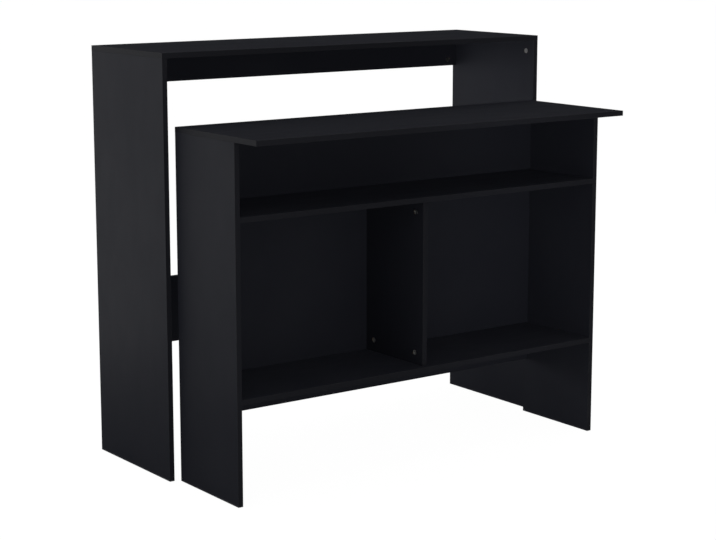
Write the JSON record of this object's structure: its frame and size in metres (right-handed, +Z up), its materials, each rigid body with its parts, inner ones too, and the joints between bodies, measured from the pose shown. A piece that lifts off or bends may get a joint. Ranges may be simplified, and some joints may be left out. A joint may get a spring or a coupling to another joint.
{
  "type": "bar table",
  "caption": "Black nesting bar table: a tall open table with a shorter shelved table that slides under it, both of flat boards drawn together by cam locks.",
  "frame": {"origin": "on the floor, under the middle of the box round both tables with the short one just drawn out", "axes": "+X to the right along the tables' length, -Y to the front where the shelves open, +Z up"},
  "size_m": [1.35, 0.815, 1.2],
  "materials": {
    "board_black": "satin black melamine on chipboard",
    "edging_black": "satin black edge band",
    "cam_zinc": "bare die-cast zinc",
    "bolt_steel": "bright zinc-plated steel",
    "dowel_beech": "bare beech"
  },
  "bodies": {
    "tall_table": {"tall_top": "board_black", "tall_left_side": "board_black", "tall_right_side": "board_black", "tall_rear_rail": "board_black", "tall_stretcher": "board_black", "tall_top_edging": "edging_black", "tall_left_side_edging": "edging_black", "tall_right_side_edging": "edging_black", "tall_rear_rail_edging": "edging_black", "tall_stretcher_edging": "edging_black", "tall_cam_locks": "cam_zinc", "tall_cam_bolts": "bolt_steel", "tall_dowels": "dowel_beech"},
    "short_table": {"short_top": "board_black", "short_left_side": "board_black", "short_right_side": "board_black", "back_panel": "board_black", "bottom_shelf": "board_black", "upper_shelf": "board_black", "divider": "board_black", "short_top_edging": "edging_black", "short_left_side_edging": "edging_black", "short_right_side_edging": "edging_black", "back_panel_edging": "edging_black", "bottom_shelf_edging": "edging_black", "upper_shelf_edging": "edging_black", "divider_edging": "edging_black", "short_cam_locks": "cam_zinc", "short_cam_bolts": "bolt_steel", "short_dowels": "dowel_beech"}
  },
  "joints": [
    {"name": "short_table_slide", "type": "slide", "parent": "tall_table", "child": "short_table", "axis": [0, 1, 0], "range_m": [-0.3, 0.39]}
  ]
}
